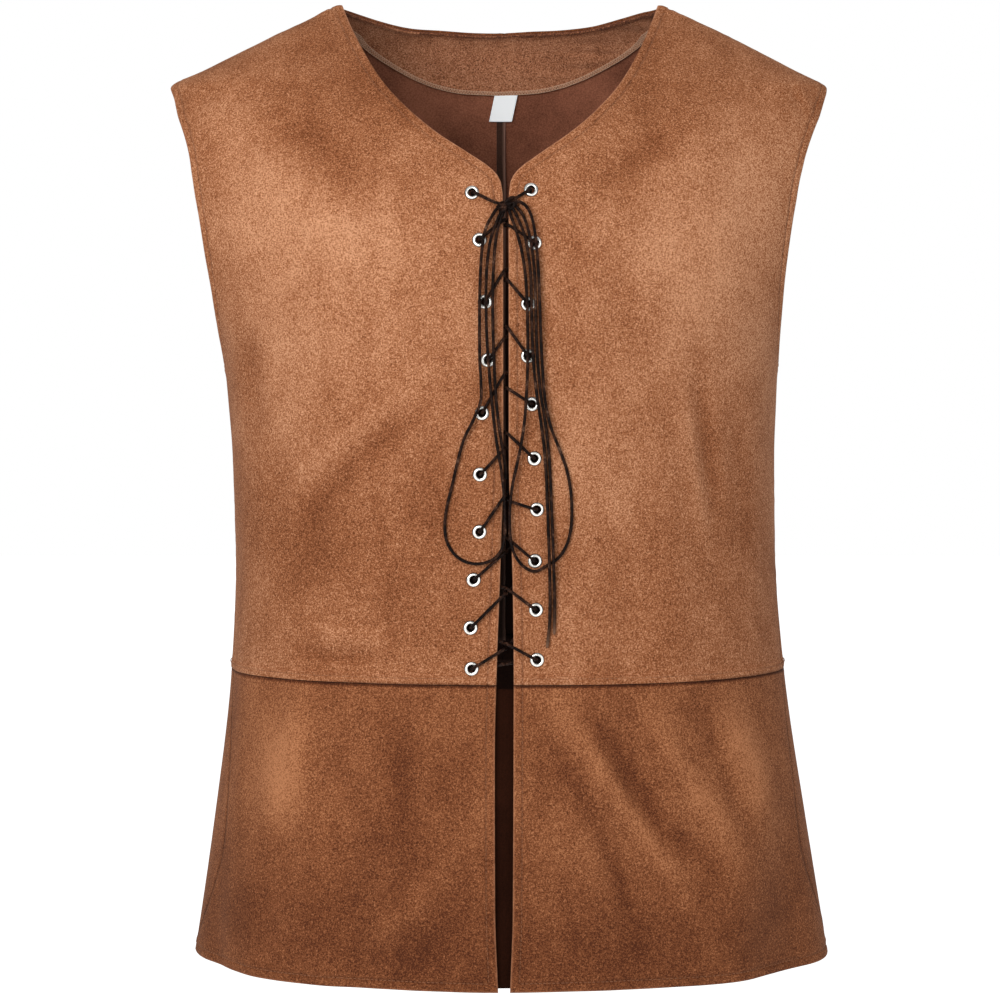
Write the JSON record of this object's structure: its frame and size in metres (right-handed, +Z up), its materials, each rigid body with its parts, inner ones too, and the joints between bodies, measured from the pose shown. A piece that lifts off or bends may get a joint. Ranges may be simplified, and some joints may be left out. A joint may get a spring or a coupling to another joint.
{
  "type": "renaissance vest",
  "caption": "Sleeveless hip-length vest in brown faux suede with a seamed, flared skirt, laced up the front through metal eyelets and tied in a bow; hollow, as worn.",
  "frame": {"origin": "midway between the neck ends of the two shoulder seams, where the wearer's shoulders hold the vest", "axes": "+Z up, the laced front faces -Y, +X towards the wearer's left"},
  "size_m": [0.4826, 0.283, 0.695],
  "materials": {
    "bodice_suede": "matt brushed faux suede with a short mottled nap",
    "skirt_suede": "matt brushed faux suede, nap lying darker",
    "facing_suede": "matt faux suede, overlocked edge",
    "label_satin": "woven satin, blank",
    "eyelet_metal": "polished nickel",
    "lace_cord": "dark, slightly waxy"
  },
  "bodies": {
    "root": {"bodice_front_left": "bodice_suede", "bodice_back_left": "bodice_suede", "skirt_front_left": "skirt_suede", "bodice_front_right": "bodice_suede", "bodice_back_right": "bodice_suede", "skirt_front_right": "skirt_suede", "skirt_back": "skirt_suede", "neck_facing": "facing_suede", "care_label": "label_satin", "eyelet_right_01": "eyelet_metal", "eyelet_left_01": "eyelet_metal", "eyelet_right_02": "eyelet_metal", "eyelet_left_02": "eyelet_metal", "eyelet_right_03": "eyelet_metal", "eyelet_left_03": "eyelet_metal", "eyelet_right_04": "eyelet_metal", "eyelet_left_04": "eyelet_metal", "eyelet_right_05": "eyelet_metal", "eyelet_left_05": "eyelet_metal", "eyelet_right_06": "eyelet_metal", "eyelet_left_06": "eyelet_metal", "eyelet_right_07": "eyelet_metal", "eyelet_left_07": "eyelet_metal", "eyelet_right_08": "eyelet_metal", "eyelet_left_08": "eyelet_metal", "eyelet_right_09": "eyelet_metal", "eyelet_left_09": "eyelet_metal", "eyelet_right_10": "eyelet_metal", "eyelet_left_10": "eyelet_metal", "lacing_one": "lace_cord", "lacing_two": "lace_cord", "lace_knot": "lace_cord", "lace_loop_right": "lace_cord", "lace_loop_left": "lace_cord", "lace_end_one": "lace_cord", "lace_end_two": "lace_cord"}
  },
  "joints": []
}
